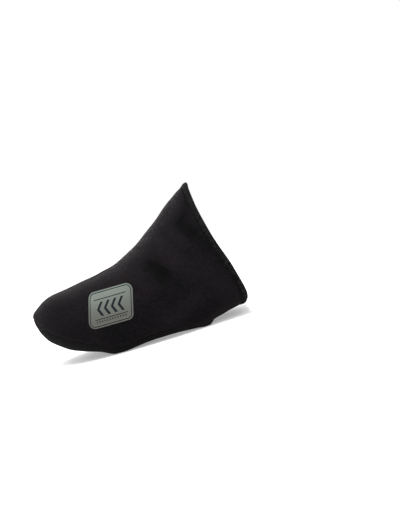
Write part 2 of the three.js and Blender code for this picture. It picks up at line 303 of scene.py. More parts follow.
class Form:
    """The cover's outer skin. t runs from the toe tip to behind the collar in metres of skin.
    a runs round: 0 to 1 over the top from the outer side, to 2 round the inner corner, to 3 back under the
    foot, to 4 round the outer corner."""

    STEP = 2e-4  # of t and of a, between a point and its neighbours that give the slope
    SIDE_BLEND = 0.012  # how far from the ridge the folds of one side have faded in
    COLLAR_SEARCH = 0.6  # share of the skin's length where the search for the collar's edge starts
    HALVINGS = 34  # of the stretch that holds the collar's edge
    FINE = 4000  # places along the skin that t is read from

    def __init__(self, chosen):
        self.size, self.collar, self.opening = chosen.cover, chosen.collar, chosen.opening
        self.x_shift = -self.size.cover_length / 2
        self.y_shift = (self.size.lateral_half - self.size.medial_half) / 2
        rows = [dict(zip(COLUMNS, row)) for row in SECTIONS]
        places = self.places(rows)
        widths = [(row["outer"] + row["inner"]) / 2 * self.size.lateral_half for row in rows]
        chords = np.hypot(np.diff(places), np.diff(widths))
        self.t = np.concatenate([[0], np.cumsum(chords)])
        self.tracks = self.make_tracks(rows, places)
        height, forward = np.array(COLLAR_EDGE).T
        self.collar_track = Track(
            height * self.size.instep_height, self.size.cover_length - forward * self.collar.lean)

    def places(self, rows):
        opening = self.opening
        ends = {
            "toe": (0, opening.setback),
            "ball": (opening.setback, opening.length),
            "strap": (opening.setback + opening.length,
                      self.size.cover_length - opening.setback - opening.length),
        }
        return [ends[row["stretch"]][0] + row["along"] * ends[row["stretch"]][1] for row in rows]

    def make_tracks(self, rows, places):
        size = self.size
        column = {name: np.array([row[name] for row in rows]) for name in COLUMNS[1:]}
        climb = size.instep_height - size.toe_lift
        values = {
            "top": size.toe_lift + column["top"] * climb,
            "outer": size.tip_offset - column["outer"] * (size.lateral_half + size.tip_offset),
            "inner": size.tip_offset + column["inner"] * (size.medial_half - size.tip_offset),
            "ridge": size.tip_offset + column["outer"] * (size.ridge_offset - size.tip_offset),
            **{name: column[name] for name in ("side", "seam", "base", "crown")},
        }
        tracks = {name: Track(self.t, value) for name, value in values.items()}
        tracks["x"] = Track(self.t, places, start_level=True)
        bottom = column["lift"] * size.toe_lift + column["arch"] * size.arch_rise
        tracks["bottom"] = Track(self.t, bottom, steady=True)
        return tracks

    def section(self, t):
        at = {name: track(t) for name, track in self.tracks.items()}
        at["side"] = at["bottom"] + at["side"] * (at["top"] - at["bottom"])
        at["middle"] = (at["outer"] + at["inner"]) / 2
        at["flat"] = (at["inner"] - at["outer"]) / 2 * at["base"]
        return at

    def seam_turn(self, t):
        """How far round the corner the sole's edge lies, as a share of the corner."""
        return np.arcsin(1 - np.clip(self.tracks["seam"](t), 0, 1)) / (math.pi / 2)

    def point(self, t, a):
        """Points of the skin, in the cover's frame."""
        t, a = np.broadcast_arrays(t, np.mod(a, 4))
        at = self.section(t)
        over, under = a <= 1, (a >= 2) & (a <= 3)
        angle = np.pi * np.clip(a, 0, 1)
        spread = np.abs(np.cos(angle))
        edge = np.where(angle < np.pi / 2, at["outer"], at["inner"])
        crown_y = at["ridge"] + (edge - at["ridge"]) * spread * (1 + at["crown"] * (1 - spread**2))
        crown_z = at["side"] + (at["top"] - at["side"]) * np.sin(angle)
        inner = a < 2.5
        turn = np.clip(np.where(inner, a - 1, 4 - a), 0, 1) * np.pi / 2
        foot = at["middle"] + np.where(inner, at["flat"], -at["flat"])
        rim = np.where(inner, at["inner"], at["outer"])
        corner_y = foot + (rim - foot) * np.cos(turn) ** self.size.corner_fullness
        corner_z = at["side"] - (at["side"] - at["bottom"]) * np.sin(turn)
        base_y = at["middle"] + at["flat"] * (1 - 2 * (a - 2))
        y = np.where(over, crown_y, np.where(under, base_y, corner_y))
        z = np.where(over, crown_z, np.where(under, at["bottom"], corner_z))
        return np.stack([at["x"] + self.x_shift, y + self.y_shift, z], -1)

    def normal(self, t, a):
        """Directions out of the skin."""
        t, a = np.broadcast_arrays(t, a)
        inside = np.maximum(t, 2 * self.STEP)
        along = self.point(inside + self.STEP, a) - self.point(inside - self.STEP, a)
        round_ = self.point(inside, a + self.STEP) - self.point(inside, a - self.STEP)
        out = unit(np.cross(along, round_))
        return np.where((t < self.STEP)[..., None], np.array([-1.0, 0, 0]), out)

    def folds(self, points):
        """How far the troughs and ridges lift the skin at these points."""
        x = (points[..., 0] - self.x_shift) * MM
        z = points[..., 2] * MM
        side = np.tanh((points[..., 1] - self.y_shift - self.size.ridge_offset) / self.SIDE_BLEND)
        lift = np.zeros(x.shape)
        for _, hand, start, end, half, depth in FOLDS:
            (x0, z0), (x1, z1) = start, end
            run = math.hypot(x1 - x0, z1 - z0)
            ahead = ((x - x0) * (x1 - x0) + (z - z0) * (z1 - z0)) / run
            beyond = np.maximum(np.abs(ahead - run / 2) - run / 2, 0)
            across = ((x - x0) * (z1 - z0) - (z - z0) * (x1 - x0)) / run
            shape = np.exp(-((across / half) ** 2) - (beyond / half) ** 2)
            weight = np.clip(0.5 + 0.5 * side * hand, 0, 1) if hand else 1
            lift += depth * shape * weight
        return lift / MM * self.size.fold_strength

    def skin(self, t, a, proud):
        """Points of the folded skin, stood off by proud."""
        points, out = self.point(t, a), self.normal(t, a)
        return points + out * (self.folds(points) + proud)[..., None]

    def collar_end(self, a, margin, turn=None):
        """The t at which each line a comes within a margin of the collar's edge. turn(t) gives a where it
        varies along the line."""
        low = np.full(np.shape(a), self.t[-1] * self.COLLAR_SEARCH)
        high = np.full(np.shape(a), self.t[-1])
        for _ in range(self.HALVINGS):
            t = (low + high) / 2
            here = self.point(t, turn(t) if turn else a)
            past = here[..., 0] - self.x_shift > self.collar_track(here[..., 2]) - margin
            low, high = np.where(past, low, t), np.where(past, t, high)
        return (low + high) / 2

    def t_at(self, x):
        """The t at which the skin is x behind the toe tip."""
        fine = np.linspace(0, self.t[-1], self.FINE)
        return np.interp(x, self.tracks["x"](fine), fine)

    def seam_to_rim(self, y, t):
        """How far across the sole a place y lies: 0 to 1 round the outer corner, to 2 over the flat, to 3
        round the inner corner."""
        at = self.section(t)
        foot_out, foot_in = at["middle"] - at["flat"], at["middle"] + at["flat"]
        start = self.seam_turn(t)

        def corner(foot, rim):
            reach = np.clip((y - foot) / (rim - foot), 0, 1) ** (1 / self.size.corner_fullness)
            return (np.arccos(reach) / (np.pi / 2) - start) / (1 - start)

        flat = 1 + (y - foot_out) / (foot_in - foot_out)
        return np.where(
            y < foot_out, corner(foot_out, at["outer"]),
            np.where(y > foot_in, 3 - corner(foot_in, at["inner"]), flat))

    def across_sole(self, p, t):
        """The a of a place across the sole."""
        start = self.seam_turn(t)
        outer = 4 - (start + (1 - start) * np.clip(p, 0, 1))
        inner = 1 + start + (1 - start) * np.clip(3 - p, 0, 1)
        return np.where(p < 1, outer, np.where(p > 2, inner, 3 - (p - 1)))

    def on_sole(self, outline):
        """The t and the a of places that are seen from above."""
        t = self.t_at(outline[:, 0])
        return t, self.across_sole(self.seam_to_rim(outline[:, 1], t), t)

    def opening_outline(self, grow, steps=720):
        """The cleat opening seen from above, as distances from the toe tip and across the foot."""
        o = self.opening
        discs = []
        for x, width, corner in (
            (o.setback + o.front_corner, o.front_width, o.front_corner),
            (o.setback + o.length - o.rear_corner, o.rear_width, o.rear_corner),
        ):
            r = min(corner, width / 2)
            discs += [(x, hand * (width / 2 - r) - o.offset, r) for hand in (-1, 1)]
        x, y, r = np.array(discs).T
        angle = (np.arange(steps) + 0.5) * 2 * np.pi / steps
        reach = np.outer(np.cos(angle), x) + np.outer(np.sin(angle), y) + r
        far = reach.argmax(1)
        return np.stack(
            [x[far] + (r[far] + grow) * np.cos(angle), y[far] + (r[far] + grow) * np.sin(angle)], -1)


def unit(vectors, least=1e-12):
    return vectors / np.maximum(np.linalg.norm(vectors, axis=-1, keepdims=True), least)


def spread(*stretches):
    """Places along a line, from stretches of (start, end, steps)."""
    parts = [np.linspace(start, end, steps, endpoint=False) for start, end, steps in stretches]
    return np.concatenate([*parts, [stretches[-1][1]]])


def run_along(points):
    """How far along a line each of its points lies."""
    steps = np.linalg.norm(np.diff(points, axis=0), axis=1)
    return np.concatenate([[0], np.cumsum(steps)])


def placed(name, data):
    """A new object in the scene."""
    made = bpy.data.objects.new(name, data)
    bpy.context.scene.collection.objects.link(made)
    return made


class Patchwork:
    """A mesh put together from grids of points."""

    def __init__(self, name, *finishes):
        self.name, self.finishes = name, finishes
        self.points, self.faces, self.uvs, self.slots = [], [], [], []
        self.count = 0

    def grid(self, points, uv, slot=0, flip=False, keep=None):
        """Rows by columns of points, as quads. keep marks the quads that stay."""
        rows, columns = points.shape[:2]
        index = self.count + np.arange(rows * columns).reshape(rows, columns)
        quads = np.stack([index[:-1, :-1], index[1:, :-1], index[1:, 1:], index[:-1, 1:]], -1)
        if keep is not None:
            quads = quads[keep]
        quads = quads.reshape(-1, 4)
        if flip:
            quads = quads[:, ::-1]
        self.points.append(points.reshape(-1, 3))
        self.uvs.append(np.broadcast_to(uv, (rows, columns, 2)).reshape(-1, 2))
        self.faces.append(quads)
        self.slots.append(np.full(len(quads), slot))
        self.count += rows * columns

    def sheet(self, outer, inner, uv, edge, keep=None):
        """Both faces of a thick cloth, and its cut edges at both sides and at the end, in the slot edge."""
        self.grid(outer, uv, 0, keep=keep)
        self.grid(inner, uv, 1, flip=True, keep=keep)
        for side in (0, -1):
            self.grid(np.stack([outer[:, side], inner[:, side]], 1), uv[:, :2], edge)
        self.grid(np.stack([outer[-1], inner[-1]]), uv[:2], edge)

    def finish(self, merge=2e-6):
        """The object, with its loose points gone, its doubles merged and its faces turned outwards."""
        mesh = bpy.data.meshes.new(self.name)
        points, faces = np.concatenate(self.points), np.concatenate(self.faces)
        mesh.from_pydata(points.tolist(), [], faces.tolist())
        layer = mesh.uv_layers.new(name="cloth")
        layer.data.foreach_set("uv", np.concatenate(self.uvs)[faces.ravel()].ravel().astype(np.float32))
        mesh.polygons.foreach_set("material_index", np.concatenate(self.slots).astype(np.int32))
        for finish in self.finishes:
            mesh.materials.append(finish)
        work = bmesh.new()
        work.from_mesh(mesh)
        bmesh.ops.delete(work, geom=[vert for vert in work.verts if not vert.link_faces], context="VERTS")
        bmesh.ops.remove_doubles(work, verts=work.verts, dist=merge)
        bmesh.ops.dissolve_degenerate(work, edges=work.edges, dist=merge / 4)
        bmesh.ops.recalc_face_normals(work, faces=work.faces)
        work.to_mesh(mesh)
        work.free()
        mesh.polygons.foreach_set("use_smooth", np.ones(len(mesh.polygons), bool))
        return placed(self.name, mesh)


def places_of(piece):
    """The piece's points as an array."""
    flat = np.zeros(len(piece.data.vertices) * 3, np.float32)
    piece.data.vertices.foreach_get("co", flat)
    return flat.reshape(-1, 3).astype(float)


def mark(piece, name, values):
    """Stores a number with each point, for the materials to read."""
    layer = piece.data.attributes.new(name, "FLOAT", "POINT")
    layer.data.foreach_set("value", values.astype(np.float32))


def settle(piece, slot, *nodes):
    """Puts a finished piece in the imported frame, in place of these nodes."""
    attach(piece, "root")
    if nodes:
        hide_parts(*nodes)


def distances(points):
    """How far each point lies from the nearer end of its row, and from the row's start."""
    steps = np.linalg.norm(np.diff(points, axis=1), axis=2)
    along = np.concatenate([np.zeros((len(points), 1)), np.cumsum(steps, 1)], 1)
    return np.minimum(along, along[:, -1:] - along), along


def rounded(distance, radius):
    """How far a rounded edge drops at a distance from it."""
    short = np.clip(1 - distance / radius, 0, 1)
    return radius * (1 - np.sqrt(1 - short**2))


def sunk(distance, depth, reach=SEWN_REACH):
    """How deep a row of stitches pulls the cloth in at a distance from it."""
    return depth * np.exp(-((distance / reach) ** 2))


def sign(operation, turned=False):
    """One of Python's signs between two numbers, as a math node."""
    def made(self, other):
        return self.math(operation, other, self) if turned else self.math(operation, self, other)
    return made


class Number:
    """A number that varies over a piece, written with Python's signs."""

    __add__ = __radd__ = sign("ADD")
    __sub__ = sign("SUBTRACT")
    __rsub__ = sign("SUBTRACT", turned=True)
    __mul__ = __rmul__ = sign("MULTIPLY")
    __truediv__ = sign("DIVIDE")
    __lt__ = sign("LESS_THAN")
    __gt__ = sign("GREATER_THAN")
    __mod__ = sign("FLOORED_MODULO")

    def __init__(self, nodes, socket):
        self.nodes, self.socket = nodes, socket

    def math(self, operation, *values):
        made = self.nodes.node("ShaderNodeMath", {"operation": operation}, dict(enumerate(values)))
        return Number(self.nodes, made.outputs[0])

    def __abs__(self):
        return self.math("ABSOLUTE", self)

    def waves(self, pitch):
        """A wave from -1 to 1, one for each pitch."""
        turn = self * (2 * math.pi / pitch)
        return self.math("SINE", turn)

    def clamped(self):
        return self.math("MINIMUM", self.math("MAXIMUM", self, 0.0), 1.0)

    def between(self, low, high):
        return (self > low) * (self < high)


class Nodes:
    """Adds nodes to self.tree, the node tree of a material or of a modifier."""

    def node(self, kind, chosen=None, sockets=None):
        made = self.tree.nodes.new(kind)
        for name, value in (chosen or {}).items():
            setattr(made, name, value)
        for name, value in (sockets or {}).items():
            self.feed(made.inputs[name], value)
        return made

    def feed(self, socket, value):
        value = value.socket if isinstance(value, Number) else value
        if isinstance(value, bpy.types.NodeSocket):
            self.tree.links.new(value, socket)
        elif socket.type == "RGBA":
            socket.default_value = (*value[:3], 1)
        else:
            socket.default_value = value


class Finish(Nodes):
    """A material and the nodes that make it."""

    def __init__(self, name):
        self.material = bpy.data.materials.new(name)
        self.material.use_nodes = True
        self.tree = self.material.node_tree
        self.tree.nodes.clear()

    def cloth(self):
        """Places on the cloth in millimetres, along and round."""
        uv = self.node("ShaderNodeUVMap", {"uv_map": "cloth"})
        parts = self.node("ShaderNodeSeparateXYZ", sockets={"Vector": uv.outputs["UV"]})
        return Number(self, parts.outputs["X"]), Number(self, parts.outputs["Y"])

    def noise(self, scale, detail, roughness=0.5):
        """Noise in the cover's own space, scale in lumps per metre."""
        place = self.node("ShaderNodeTexCoord").outputs["Object"]
        made = self.node(
            "ShaderNodeTexNoise", sockets={
                "Vector": place, "Scale": scale, "Detail": detail, "Roughness": roughness})
        return Number(self, made.outputs[0])

    def marked(self, name):
        """A number that was stored with each point of the piece."""
        return Number(self, self.node("ShaderNodeAttribute", {"attribute_name": name}).outputs["Fac"])

    def mix(self, amount, low, high):
        """A colour between two colours."""
        made = self.node("ShaderNodeMix", {"data_type": "RGBA"})
        self.feed(made.inputs["Factor"], amount)
        colours = [socket for socket in made.inputs if socket.type == "RGBA"]
        self.feed(colours[0], low)
        self.feed(colours[1], high)
        return [socket for socket in made.outputs if socket.type == "RGBA"][0]

    def bump(self, height, distance):
        made = self.node("ShaderNodeBump", sockets={"Distance": distance, "Height": height})
        return made.outputs["Normal"]

    def surface(self, **sockets):
        """The Principled shader that ends the material. Underscores stand for spaces."""
        named = {name.replace("_", " "): value for name, value in sockets.items()}
        shader = self.node("ShaderNodeBsdfPrincipled", sockets=named)
        self.node("ShaderNodeOutputMaterial", sockets={"Surface": shader.outputs[0]})
        return self.material


def knit_finish(name, dark, light, warm, pitch, relief, sheen):
    """A fine stretch knit bonded to foam, with a painted highlight where a ridge lifts it and painted shade
    in a trough.
    """
    finish = Finish(name)
    along, round_ = finish.cloth()
    loops = round_.waves(pitch) * along.waves(pitch)
    lint = finish.noise(2600.0, 3.0, 0.7)
    cloudy = finish.noise(42.0, 3.0, 0.55)
    grain = finish.noise(900.0, 2.0, 0.6)
    mottle = finish.noise(380.0, 2.0, 0.6)
    lift_in_mm = finish.marked("lift") * MM
    speckle = (lint - 0.5) * 1.1 + (grain - 0.5) * 1.25 + (mottle - 0.5) * 0.85
    # Painted shade and highlight: the stored fold lift darkens the colour in troughs and lightens it on
    # ridges; lint, grain and clouds vary it at random.
    wear_and_painted_light = (lift_in_mm * 0.23 + (cloudy - 0.45) * 0.6 + speckle + 0.31).clamped()
    faded = ((finish.noise(75.0, 2.0, 0.5) - 0.55) * 5).clamped()
    height = loops * 0.35 + grain * 0.8 + lint * 0.5 + cloudy * 0.4
    return finish.surface(
        Base_Color=finish.mix(wear_and_painted_light, dark, finish.mix(faded, light, warm)),
        Roughness=0.74 + 0.16 * grain,
        Sheen_Weight=sheen,
        Sheen_Roughness=0.42,
        Sheen_Tint=(1, 0.84, 0.93, 1),
        Specular_IOR_Level=0.04,
        Normal=finish.bump(height, relief),
    )


def grip_finish(colours):
    """A hard-wearing twill that keeps its grip when wet, with painted light from below on the strap behind
    the opening.
    """
    finish = Finish("grip_cloth")
    along, round_ = finish.cloth()
    twill = (along + round_).waves(1.1)
    cross = (along - round_).waves(0.55)
    grain = finish.noise(1500.0, 3.0, 0.6)
    scuffs = finish.noise(90.0, 4.0, 0.7)
    # Painted light from below: the cloth turns paler along the strap behind the opening, where it faces
    # down into shade.
    strap = ((along - 120) / 40).clamped()
    wear_and_painted_light = twill * 0.3 + cross * 0.12 + (grain - 0.5) * 1.2 + (scuffs - 0.5) * 1.4 + 0.05 + strap * 0.8
    light = wear_and_painted_light.clamped()
    return finish.surface(
        Base_Color=finish.mix(light, colours.grip, colours.grip_yarn_and_painted_light),
        Roughness=0.78 + 0.14 * scuffs,
        Sheen_Weight=0.01,
        Specular_IOR_Level=0.05,
        Normal=finish.bump(twill * 0.5 + cross * 0.3 + grain * 0.6, 0.00028),
    )


def tape_finish(colours):
    """A ribbed knit tape with grey-green flecks, with painted shade along the groove of its row of
    stitches.
    """
    finish = Finish("edge_tape")
    along, inset = finish.cloth()
    ribs = along.waves(1.3)
    rows = inset.waves(0.9)
    # Painted shade: the colour darkens along the row of stitches, in the groove they pull into the tape.
    seam = (1 - abs(inset - STITCH_INSET * MM) / 0.85).clamped()
    grain = finish.noise(1300.0, 3.0, 0.65)
    flecks = finish.noise(520.0, 2.5, 0.7)
    light = ((flecks - 0.5) * 4.2 + (grain - 0.5) * 1.8 + ribs * 0.12 + 0.42 - seam * 0.5).clamped()
    return finish.surface(
        Base_Color=finish.mix(light, colours.tape, colours.tape_light),
        Roughness=0.8 + 0.12 * grain,
        Sheen_Weight=0.01,
        Specular_IOR_Level=0.05,
        Normal=finish.bump(ribs * 0.5 + rows * 0.12 + grain * 1.1 + flecks * 0.7, 0.0003),
    )


class Print:
    """The plain print on the patch, in millimetres from its middle."""

    BORDER = 1.1, 1.7  # from the patch's outline to the outer and the inner edge of the border line
    CHEVRON, PITCH, SLOPE, RISE = 2.1, 5.6, 0.62, 5.2  # width, distance, slope and half height
    START, RUN = 11.1, 18.95  # how far ahead of the middle the chevrons start, and their whole length
    BAR_PLACE, BAR_HALF, BAR_REACH = 7.2, 0.3, 13.2  # of the line above the chevrons and the one below
    MARK_PLACE, MARK_HALF, MARK_REACH = -9.0, 0.75, 12.2  # of the row of short marks at the foot
    MARK, MARK_PITCH, MARK_SLANT = 0.8, 2.1, 0.5  # width, distance and slant of those marks

    @classmethod
    def ink(cls, rim, across, up):
        """1 where there is ink. rim is the distance to the outline in metres, the rest is millimetres."""
        outer, inner = cls.BORDER
        border = rim.between(outer / MM, inner / MM)
        tip = across - abs(up) * cls.SLOPE + cls.START
        chevrons = (tip % cls.PITCH < cls.CHEVRON) * tip.between(0, cls.RUN) * (abs(up) < cls.RISE)
        bars = (abs(abs(up) - cls.BAR_PLACE) < cls.BAR_HALF) * (abs(across) < cls.BAR_REACH)
        slanted = (across + up * cls.MARK_SLANT) % cls.MARK_PITCH < cls.MARK
        marks = slanted * (abs(up - cls.MARK_PLACE) < cls.MARK_HALF) * (abs(across) < cls.MARK_REACH)
        return (border + chevrons + bars + marks).clamped()


def film_finish(colours, patch):
    """Grey reflective film with its print."""
    finish = Finish("reflective_film")
    along, up = finish.cloth()
    rim = finish.marked("rim")
    across = along - up * (patch.lean / patch.tall)
    ink = Print.ink(rim, across, up)
    beads = finish.noise(4200.0, 1.0, 0.5)
    wear = finish.noise(260.0, 4.0, 0.7)
    worn_ink = ink * (1 - ((wear - 0.6) * 4).clamped() * 0.3)
    # Painted highlight: the film grows paler towards its upper part; wear and beads vary it at random.
    lit = (up / 22 + 0.4 + (wear - 0.5) * 0.8 + (beads - 0.5) * 0.5).clamped()
    tone = finish.mix(lit, colours.film, colours.film_sheen)
    return finish.surface(
        Base_Color=finish.mix(worn_ink, tone, colours.ink),
        Roughness=0.4 + 0.16 * wear + 0.3 * ink,
        Metallic=0.12 * (1 - ink),
        Specular_IOR_Level=0.07,
        Normal=finish.bump(beads * 0.5 + wear * 0.5 - worn_ink * 0.5, 0.00006),
    )


def thread_finish(colours):
    """Twisted polyester thread."""
    finish = Finish("thread")
    twist = finish.noise(3800.0, 1.0)
    light = [channel * 2.2 for channel in colours.thread]
    return finish.surface(
        Base_Color=finish.mix(twist, colours.thread, light),
        Roughness=0.6 + 0.2 * twist,
        Specular_IOR_Level=0.04,
        Normal=finish.bump(twist, 0.00008),
    )


def floor_finish(colours):
    """A plain pale floor that fades into the backdrop, from 0.45 m away."""
    finish = Finish("pale_floor")
    place = finish.node("ShaderNodeTexCoord").outputs["Object"]
    away = finish.node("ShaderNodeVectorMath", {"operation": "LENGTH"}, {0: place})
    fade = (1 - (Number(finish, away.outputs["Value"]) - 0.45) / 1.4).clamped()
    return finish.surface(
        Base_Color=colours.floor, Roughness=0.9, Specular_IOR_Level=0.1, Alpha=fade,
        Emission_Color=(1, 1, 1), Emission_Strength=0.3)


FINISHES = {}


def finishes():
    """The materials, made once."""
    if not FINISHES:
        colours = settings().colours
        outside = colours.knit, colours.knit_lint_and_painted_highlight, colours.knit_warm
        inside = colours.lining, colours.lining_yarn_and_painted_highlight, colours.lining_yarn_and_painted_highlight
        FINISHES.update(
            knit=knit_finish("black_knit", *outside, pitch=0.75, relief=0.00018, sheen=0.02),
            lining=knit_finish("inner_knit", *inside, pitch=1.1, relief=0.0002, sheen=0.04),
            grip=grip_finish(colours),
            tape=tape_finish(colours),
            film=film_finish(colours, settings().patch),
            thread=thread_finish(colours),
            floor=floor_finish(colours),
        )
    return FINISHES


class TOECOVER_OT_upper(bpy.types.Operator):
    """Makes the foam upper, with its wall, folds and rounded edges"""

    bl_idname = "toecover.upper"
    bl_label = "Upper"

    # Rows: shares of the way to the collar with their steps, then distances ahead of the cut edge
    ROWS = (0, 0.06, 14), (0.06, 0.93, 118), (0.93, 0.985, 10)
    BACK = np.array([0.0016, 0.0011, 0.0007, 0.0004, 0.0002, 0.00008, 0])
    # Columns: distances beside the sole's seam, then how many round the corner and over the top
    BESIDE = np.array([0, 0.00012, 0.0003, 0.0006, 0.001, 0.0016, 0.0024])
    CORNER_COLUMNS = 11
    TOP_COLUMNS = 111
    NEAR_SHARE = 0.6  # the most of the way up to the widest place that the first of them take
    CORNER_FLAT = 0.3  # how much of the flat's half width counts as corner
    CORNER_BEND = 1.3  # how much longer its curve is than a straight line
    LEAST_CORNER = 0.002  # its length at the toe tip
    AT_SOLE, AT_HEM = 0.0003, 0.0004  # how deep the stitches pull the cloth in
    HEM_REACH = 0.0032

    def execute(self, context):
        form, size = Form(settings()), settings().cover
        made = Patchwork("upper_shell", finishes()["knit"], finishes()["lining"])
        columns = self.columns(form, np.zeros(1)).shape[-1]
        pick = np.arange(columns)
        margin = form.collar.width - TUCKED
        end = form.collar_end(np.zeros(columns), margin, lambda t: self.columns(form, t)[pick, pick])
        rows = spread(*self.ROWS)
        t = rows[:, None] * (end - self.BACK[0])[None, :]
        t = np.concatenate([t, end[None, :] - self.BACK[1:, None]])
        a = np.stack([self.columns(form, row)[pick, pick] for row in t])
        points, out = form.point(t, a), form.normal(t, a)
        lift = form.folds(points)
        rim = np.maximum(end[None, :] - t, 0)
        sides, across = distances(points)
        drop = rounded(sides, size.edge_round)
        sewn = sunk(sides, self.AT_SOLE) + sunk(rim, self.AT_HEM, self.HEM_REACH)
        outer = points + out * (lift - drop - sewn)[..., None]
        inner = points + out * (lift - size.wall + drop)[..., None]
        ridge = across[:, columns // 2, None]
        uv = np.stack([t, across - ridge], -1) * MM
        made.sheet(outer, inner, uv, 1)
        piece = made.finish()
        # The fold lift is stored for the knit's painted shade in troughs and painted highlight on ridges.
        mark(piece, "lift", form.folds(places_of(piece)))
        settle(piece, "neoprene", "upper")
        return {"FINISHED"}

    def columns(self, form, t):
        """The a of every column at t, from the outer seam over the top to the inner one."""
        turn = form.seam_turn(t)[..., None]
        at = form.section(t)
        straight = np.hypot(at["side"] - at["bottom"], at["flat"] * self.CORNER_FLAT)
        reach = np.maximum(straight, self.LEAST_CORNER) * self.CORNER_BEND
        most = self.BESIDE / self.BESIDE[-1] * self.NEAR_SHARE
        near = np.minimum(self.BESIDE / reach[..., None] - turn, turn * (most - 1))
        rest = near[..., -1:] * np.linspace(1, 0, self.CORNER_COLUMNS + 1)[1:]
        half = np.concatenate([near, rest], -1)
        crown = np.linspace(0, 1, self.TOP_COLUMNS + 1)[1:]
        crown = np.broadcast_to(crown, (*np.shape(t), len(crown)))
        return np.concatenate([half, crown, 1 - half[..., -2::-1]], -1)


class TOECOVER_OT_sole_panel(bpy.types.Operator):
    """Makes the grip cloth panel with its cleat opening"""

    bl_idname = "toecover.sole_panel"
    bl_label = "Sole panel"

    AHEAD, BESIDE, BEHIND = 59, 63, 16  # rows ahead of the cleat opening, beside it and behind it
    SIDE_COLUMNS = (0, 0.02, 4), (0.02, 0.1, 5), (0.1, 1, 22)  # shares of the way to it, and steps
    OPENING_COLUMNS = 26
    CLEAR = 0.12  # share of the width, at each side, that the opening's columns stay away from
    AT_UPPER, AT_TAPE = 0.00022, 0.0006  # how deep the stitches pull the cloth in
    TAPE_REACH = 0.0016
    OUTLINE_POINTS = 240  # of the tape's edge, for the distance to it
    LEAST_T = 1e-4  # where the sole still has some width

    def execute(self, context):
        form, size = Form(settings()), settings().cover
        opening = form.opening
        made = Patchwork("sole_grip_panel", finishes()["grip"], finishes()["lining"])
        outline = form.opening_outline(opening.tape_width - TUCKED)
        front, rear = outline[:, 0].min(), outline[:, 0].max()
        t_front, t_rear = form.t_at(front), form.t_at(rear)
        swing = (1 - np.cos(np.linspace(0, np.pi, self.BESIDE + 1))) / 2
        ahead = np.linspace(0, 1, self.AHEAD + 1)[:-1] * t_front
        edge_rows = np.concatenate([ahead, t_front + swing * (t_rear - t_front)])
        groups = self.columns()
        p = [self.places(form, t, outline, front, rear, groups) for t in edge_rows]
        last = p[-1]
        # Behind the opening each column runs on to the collar's edge
        end = form.collar_end(last, form.collar.width - TUCKED, lambda t: form.across_sole(last, t))
        tail = np.linspace(0, 1, self.BEHIND + 1)[1:, None]
        t = np.concatenate([
            np.broadcast_to(edge_rows[:, None], (len(edge_rows), len(last))),
            t_rear + tail * (end[None, :] - t_rear)])
        p = np.concatenate([np.stack(p), np.broadcast_to(last, (self.BEHIND, len(last)))])
        a = form.across_sole(p, t)
        points, out = form.point(t, a), form.normal(t, a)
        sides, _ = distances(points)
        drop = rounded(sides, size.edge_round)
        taped = self.beside_tape(form, points)
        sewn = sunk(sides, self.AT_UPPER) + sunk(taped, self.AT_TAPE, self.TAPE_REACH)
        outer = points - out * drop[..., None]
        outer[..., 2] = np.maximum(outer[..., 2], 0)
        outer = outer - out * sewn[..., None]
        inner = points + out * (drop - size.wall)[..., None]
        uv = np.stack([t, points[..., 1]], -1) * MM
        first, middle, _ = groups
        start, stop = len(first) - 1, len(first) + len(middle) - 2
        keep = np.ones((len(t) - 1, len(last) - 1), bool)
        hole = slice(self.AHEAD, len(edge_rows) - 1)
        keep[hole, start:stop] = False
        made.sheet(outer, inner, uv, 0, keep)
        length, width = slice(hole.start, hole.stop + 1), slice(start, stop + 1)
        for side in (start, stop):
            made.grid(np.stack([outer[length, side], inner[length, side]], 1), uv[length, :2], 0)
        for row in (hole.start, hole.stop):
            made.grid(np.stack([outer[row, width], inner[row, width]]), uv[:2, width], 0)
        settle(made.finish(), "grip_fabric", "sole_panel")
        return {"FINISHED"}

    def beside_tape(self, form, points):
        """How far each point lies from the outer edge of the opening's tape, as seen from below."""
        outline = form.opening_outline(form.opening.tape_width, self.OUTLINE_POINTS)
        flat = points[..., :2] - np.array([form.x_shift, form.y_shift])
        return np.linalg.norm(flat[..., None, :] - outline, axis=-1).min(-1)

    def columns(self):
        """Shares of the way from the outer edge to the opening, across it, and on to the inner edge."""
        side = spread(*self.SIDE_COLUMNS)
        return side, np.linspace(0, 1, self.OPENING_COLUMNS + 1), 1 - side[::-1]

    def places(self, form, t, outline, front, rear, groups):
        """How far across the sole each column lies at t. The middle ones follow the opening's outline."""
        t = max(t, self.LEAST_T)
        x = float(np.clip(form.tracks["x"](t), front, rear))
        ends = []
        for hand in (-1, 1):
            half = outline[(outline[:, 1] + form.opening.offset) * hand > 0]
            half = half[half[:, 0].argsort()]
            ends.append(np.interp(x, half[:, 0], half[:, 1]))
        at = form.section(t)
        clear = self.CLEAR * (at["inner"] - at["outer"])
        ends = np.clip(ends, at["outer"] + clear, at["inner"] - clear)
        left, right = form.seam_to_rim(ends[0], t), form.seam_to_rim(ends[1], t)
        first, middle, last = groups
        return np.concatenate([
            first * left, left + middle[1:] * (right - left), right + last[1:] * (3 - right)])


